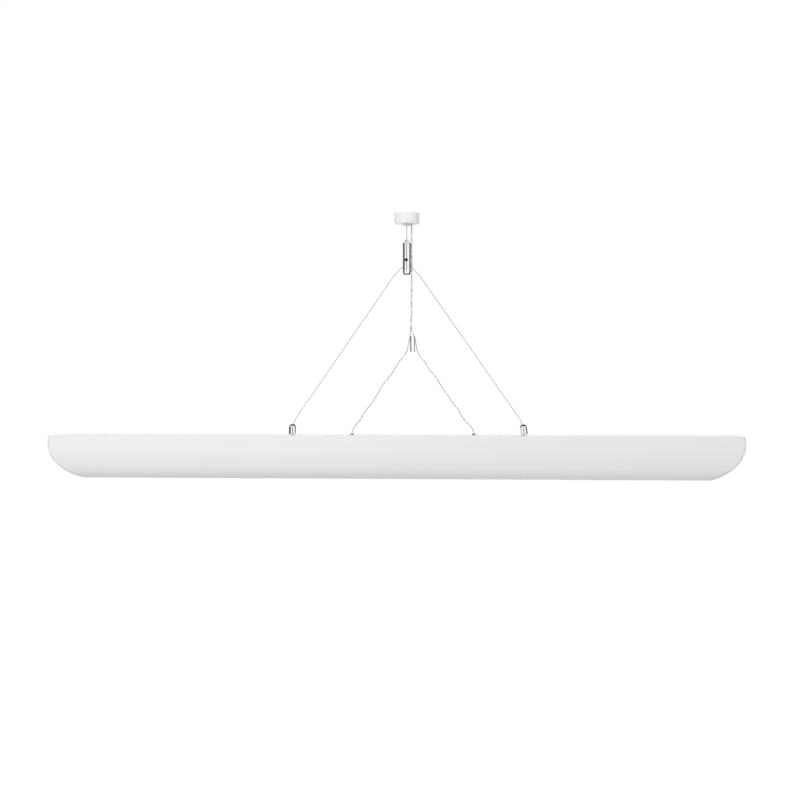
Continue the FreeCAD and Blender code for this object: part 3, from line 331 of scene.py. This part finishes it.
def opal_plastic():
    """Milky acrylic with a smooth surface."""
    made, nodes, links, shader = new_material("opal", (0.86, 0.87, 0.885), 0.3)
    tone = place_texture(nodes, links, "ShaderNodeTexNoise", 7, detail=2)
    tint(nodes, links, shader, tone.outputs["Fac"], (0.85, 0.862, 0.88), (0.87, 0.878, 0.89))
    gloss = place_texture(nodes, links, "ShaderNodeTexNoise", 40, (0.2, 1, 1))
    links.new(spread(nodes, links, gloss, "Fac", 0.26, 0.36), shader.inputs["Roughness"])
    drawn = place_texture(nodes, links, "ShaderNodeTexNoise", 420, (0.02, 1, 1), detail=1)
    add_bump(nodes, links, shader, drawn, "Fac", 0.000006)
    shader.inputs["IOR"].default_value = 1.49
    return made


def chrome_plate():
    """Bright chrome with the faintest haze and hairlines."""
    made, nodes, links, shader = new_material("chrome", (0.95, 0.95, 0.95), 0.05, 1.0)
    haze = place_texture(nodes, links, "ShaderNodeTexNoise", 500)
    links.new(spread(nodes, links, haze, "Fac", 0.03, 0.1), shader.inputs["Roughness"])
    lines = place_texture(nodes, links, "ShaderNodeTexNoise", 9000, (1, 1, 0.03), detail=1)
    add_bump(nodes, links, shader, lines, "Fac", 0.0000006)
    return made


def worked_metal(name, color, low, high, scale, stretch=(1, 1, 1), metallic=1.0):
    """Turned, drawn or cast metal: roughness and relief run along the marks of its making."""
    made, nodes, links, shader = new_material(name, color, high, metallic)
    marks = place_texture(nodes, links, "ShaderNodeTexNoise", scale, stretch)
    links.new(spread(nodes, links, marks, "Fac", low, high), shader.inputs["Roughness"])
    tone = place_texture(nodes, links, "ShaderNodeTexNoise", scale / 20)
    darker = [part * 0.88 for part in color]
    tint(nodes, links, shader, tone.outputs["Fac"], darker, color)
    add_bump(nodes, links, shader, marks, "Fac", 0.000004)
    return made


def galvanized():
    """Zinc plate with its spangle."""
    made, nodes, links, shader = new_material("zinc_plate", (0.66, 0.67, 0.68), 0.4, 0.5)
    spangle = place_texture(nodes, links, "ShaderNodeTexVoronoi", 160)
    tint(nodes, links, shader, spangle.outputs["Distance"], (0.58, 0.6, 0.62), (0.72, 0.73, 0.74))
    links.new(spread(nodes, links, spangle, "Distance", 0.3, 0.5), shader.inputs["Roughness"])
    return made


def moulded(name, color, low, high, scale=900, height=0.00001):
    """Moulded plastic or rubber: a fine even grain."""
    made, nodes, links, shader = new_material(name, color, high)
    grain = place_texture(nodes, links, "ShaderNodeTexNoise", scale, detail=2)
    links.new(spread(nodes, links, grain, "Fac", low, high), shader.inputs["Roughness"])
    tone = place_texture(nodes, links, "ShaderNodeTexNoise", 50)
    darker = [part * 0.94 for part in color]
    tint(nodes, links, shader, tone.outputs["Fac"], darker, color)
    add_bump(nodes, links, shader, grain, "Fac", height)
    return made


def clear_sheath():
    """Clear vinyl over the tinned strands of a wire."""
    made, nodes, links, shader = new_material("clear_insulation", (0.93, 0.94, 0.95), 0.12)
    shader.inputs["Transmission Weight"].default_value = 0.92
    shader.inputs["IOR"].default_value = 1.5
    cloud = place_texture(nodes, links, "ShaderNodeTexNoise", 700)
    links.new(spread(nodes, links, cloud, "Fac", 0.06, 0.2), shader.inputs["Roughness"])
    return made


def circuit_board():
    """White solder mask with faint copper showing through it."""
    made, nodes, links, shader = new_material("board", (0.88, 0.89, 0.88), 0.35)
    tracks = place_texture(nodes, links, "ShaderNodeTexBrick", 60)
    tracks.inputs["Color1"].default_value = (0.9, 0.905, 0.9, 1)
    tracks.inputs["Color2"].default_value = (0.87, 0.88, 0.87, 1)
    tracks.inputs["Mortar"].default_value = (0.8, 0.81, 0.78, 1)
    tracks.inputs["Mortar Size"].default_value = 0.012
    links.new(tracks.outputs["Color"], shader.inputs["Base Color"])
    return made


MATERIALS = {
    "white_paint": lacquer(),
    "opal": opal_plastic(),
    "chrome": chrome_plate(),
    "steel_rope": worked_metal("steel_rope", (0.66, 0.67, 0.68), 0.22, 0.38, 3000, (1, 1, 0.3)),
    "tinned_copper": worked_metal("tinned_copper", (0.5, 0.5, 0.51), 0.2, 0.35, 3000, (1, 1, 0.3)),
    "steel": worked_metal("steel", (0.6, 0.6, 0.61), 0.25, 0.42, 2500, (1, 1, 0.1), 0.5),
    "black_steel": worked_metal("black_steel", (0.035, 0.035, 0.04), 0.35, 0.5, 3000),
    "clear_insulation": clear_sheath(),
    "lead_insulation": moulded("lead_insulation", (0.8, 0.8, 0.8), 0.35, 0.45),
    "brass": worked_metal("brass", (0.75, 0.6, 0.32), 0.22, 0.36, 2500, (1, 1, 0.1)),
    "terminal_plastic": moulded("terminal_plastic", (0.85, 0.85, 0.83), 0.4, 0.55),
    "rubber": moulded("rubber", (0.08, 0.08, 0.08), 0.6, 0.8, 1500, 0.00003),
    "aluminium": worked_metal("aluminium", (0.77, 0.78, 0.79), 0.28, 0.4, 1500, (0.02, 1, 1), 0.5),
    "board": circuit_board(),
    "chips": moulded("chips", (0.9, 0.75, 0.3), 0.25, 0.35),
    "zinc_plate": galvanized(),
    "ferrite": moulded("ferrite", (0.12, 0.12, 0.12), 0.5, 0.7, 1200, 0.00002),
}


def dress_frame():
    """Each node that shows keeps its shape and gets the material of its slot."""
    slots = {entry["node"]: entry["material_slot"] for entry in frame["record"]["subparts"]}
    for name, item in frame["nodes"].items():
        item.data.materials.clear()
        item.data.materials.append(MATERIALS[slots[name]])


def finish_piece(piece, body, slot, *nodes):
    """A piece of the scene: its body, its material slot and the nodes that it stands for."""
    piece.data.materials.clear()
    piece.data.materials.append(MATERIALS[slot])
    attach(piece, body)
    if nodes:
        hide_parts(*nodes)
    return piece


# ---------------------------------------------------------------- ropes and wires
def rope(name, route, body):
    """Wire rope: six strands round a core."""
    line = route_line(route, ROPE_DIAMETER / 2)
    strand = ROPE_DIAMETER / 6
    piece = strand_mesh(name + "_strands", line, ROPE_STRANDS, ROPE_LAY, strand * 2, strand, 6, core=True)
    finish_piece(piece, body, "steel_rope", name)


def finish_conductor(piece):
    """Bare strands show their own metal, inside the sheath whose slot they share."""
    finish_piece(piece, "light", "clear_insulation")
    piece.data.materials[0] = MATERIALS["tinned_copper"]


def wire(name, route):
    """One insulated wire: clear sheath over twisted strands."""
    sheath = route_curve(name + "_sheath", route, WIRE_DIAMETER)
    finish_piece(sheath, "light", "clear_insulation", name)
    strand = CONDUCTOR_STRAND_RADIUS
    core = strand_mesh(name + "_core", route_line(route, WIRE_DIAMETER / 3), CONDUCTOR_STRANDS,
                       CONDUCTOR_LAY, strand * 2, strand, 5, core=True)
    finish_conductor(core)


def trunk():
    """Two of the wires, twisted together."""
    line = route_line(TRUNK_ROUTE, WIRE_DIAMETER / 2)
    reach = TRUNK_DIAMETER / 4
    sheaths = strand_mesh("trunk_cable_sheaths", line, 2, TRUNK_LAY, reach, WIRE_DIAMETER / 2, 14,
                          TRUNK_START)
    finish_piece(sheaths, "light", "clear_insulation", "trunk_cable")
    cores = strand_mesh("trunk_cable_cores", line, 2, TRUNK_LAY, reach, TRUNK_CORE_RADIUS, 10, TRUNK_START)
    finish_conductor(cores)


def plunger_spring():
    """The spring under the plunger, copied as it is from its node onto the light's body."""
    node = frame["nodes"]["plunger_spring"]
    piece = bpy.data.objects.new("plunger_spring_coil", node.data.copy())
    piece.matrix_world = node.matrix_world
    scene.collection.objects.link(piece)
    finish_piece(piece, "light", "steel", "plunger_spring")
    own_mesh(piece)


# ---------------------------------------------------------------- stage
FLOOR_DROP = 2.2
FLOOR_SIZE = 5
FLOOR_GLOW = 0.1                  # what is seen on top of the light that falls on the floor
WORLD_LIGHT = 0.53                # the world's strength as light
WORLD_SEEN = 1.0                  # and as the background, also in mirrors and through clear things
LAMP_TARGET = (0, 0, -0.4)

# Each lamp's name, place, size and power. Mirrors don't show the lamps.
LAMPS = [
    ("Key", (-0.8, -2.8, 1.1), 2.0, 51),
    ("Top", (0.3, 0.2, 1.6), 2.0, 18),
    ("Side_left", (-3.2, 0.6, 0.2), 1.6, 8),
    ("Side_right", (3.2, 0.6, 0.2), 1.6, 12),
    ("Rear", (0.6, 3.2, 0.5), 2.0, 28),
]

# Each studio card's name, place, turn in degrees, width, height and brightness. Only mirrors show the
# cards, which give the chrome its dark edges and its middle line.
CARDS = [
    ("Left", (-2.6, 0.35, 0.4), (0, 90, 0), 1.4, 4.9, 0.12),
    ("Left_low", (-2.6, 0.35, -0.7), (0, 90, 0), 0.8, 4.9, 0.02),
    ("Right", (2.6, 2.2, 0.4), (0, 90, 0), 1.4, 5.7, 0.16),
    ("Right_low", (2.6, 2.2, -0.7), (0, 90, 0), 0.8, 5.7, 0.02),
    ("Above", (0, 2.2, 1.4), (0, 0, 0), 5.2, 6.4, 0.04),
    ("Back", (0, 5.4, -0.9), (90, 0, 0), 9.0, 1.8, 0.86),
    ("Front", (0.4, -3.4, 0.5), (90, 0, 7), 1.1, 1.0, 0.3),
    ("Front_low", (0.4, -3.4, -0.85), (90, 0, 7), 1.6, 1.2, 0.04),
    ("Front_left", (-0.75, -3.3, 0.5), (90, 0, 7), 1.2, 1.0, 0.68),
]


def seen_ray(nodes, links):
    """1 where the camera looks, also in mirrors and through clear things, and 0 for light on surfaces."""
    path = nodes.new("ShaderNodeLightPath")
    seen = path.outputs["Is Camera Ray"]
    for name in ("Is Glossy Ray", "Is Transmission Ray"):
        either = nodes.new("ShaderNodeMath")
        either.operation = "MAXIMUM"
        links.new(seen, either.inputs[0])
        links.new(path.outputs[name], either.inputs[1])
        seen = either.outputs[0]
    return seen


def make_stage():
    """The pale floor, the white world, the lamps and the studio cards."""
    bpy.ops.mesh.primitive_plane_add(size=FLOOR_SIZE, location=(0, 0, -FLOOR_DROP))
    floor = bpy.context.object
    floor.name = "Floor"
    floor_material, nodes, links, shader = new_material("floor", (0.78, 0.78, 0.78), 0.8)
    shader.inputs["Specular IOR Level"].default_value = 0.1
    shader.inputs["Emission Color"].default_value = (1, 1, 1, 1)
    glow = nodes.new("ShaderNodeMapRange")
    glow.inputs["To Max"].default_value = FLOOR_GLOW
    links.new(seen_ray(nodes, links), glow.inputs["Value"])
    links.new(glow.outputs["Result"], shader.inputs["Emission Strength"])
    floor.data.materials.append(floor_material)

    world = bpy.data.worlds.new("World")
    scene.world = world
    world.use_nodes = True
    nodes, links = world.node_tree.nodes, world.node_tree.links
    background = nodes["Background"]
    background.inputs["Color"].default_value = (1, 1, 1, 1)
    strength = nodes.new("ShaderNodeMapRange")
    strength.inputs["To Min"].default_value = WORLD_LIGHT
    strength.inputs["To Max"].default_value = WORLD_SEEN
    links.new(seen_ray(nodes, links), strength.inputs["Value"])
    links.new(strength.outputs["Result"], background.inputs["Strength"])

    for row in LAMPS:
        lamp(*row)
    for row in CARDS:
        card(*row)


def lamp(name, spot, size, power):
    """A square lamp that faces the light's middle."""
    data = bpy.data.lights.new(name, "AREA")
    data.size = size
    data.energy = power
    item = bpy.data.objects.new(name, data)
    item.location = spot
    item.rotation_euler = (Vector(LAMP_TARGET) - Vector(spot)).to_track_quat("-Z", "Y").to_euler()
    item.visible_glossy = False
    scene.collection.objects.link(item)


def card(name, spot, degrees, width, height, level):
    """A glowing studio card that only mirrors show."""
    bpy.ops.mesh.primitive_plane_add(size=1, location=spot,
                                     rotation=[math.radians(angle) for angle in degrees])
    board = bpy.context.object
    board.name = "Card_" + name
    board.scale = (width, height, 1)
    material = bpy.data.materials.new(board.name)
    material.use_nodes = True
    nodes, links = material.node_tree.nodes, material.node_tree.links
    nodes.remove(nodes["Principled BSDF"])
    glow = nodes.new("ShaderNodeEmission")
    glow.inputs["Color"].default_value = (level, level, level, 1)
    links.new(glow.outputs[0], nodes["Material Output"].inputs["Surface"])
    board.data.materials.append(material)
    board.visible_camera = False
    board.visible_diffuse = False
    board.visible_shadow = False
    board.visible_transmission = False


make_camera()
dress_frame()
rope("top_rope", TOP_ROPE_ROUTE, "suspension_rope")
rope("left_leg_rope", LEFT_LEG_ROUTE, "light")
rope("right_leg_rope", RIGHT_LEG_ROUTE, "light")
trunk()
wire("left_wire", LEFT_WIRE_ROUTE)
wire("right_wire", RIGHT_WIRE_ROUTE)
plunger_spring()
make_stage()
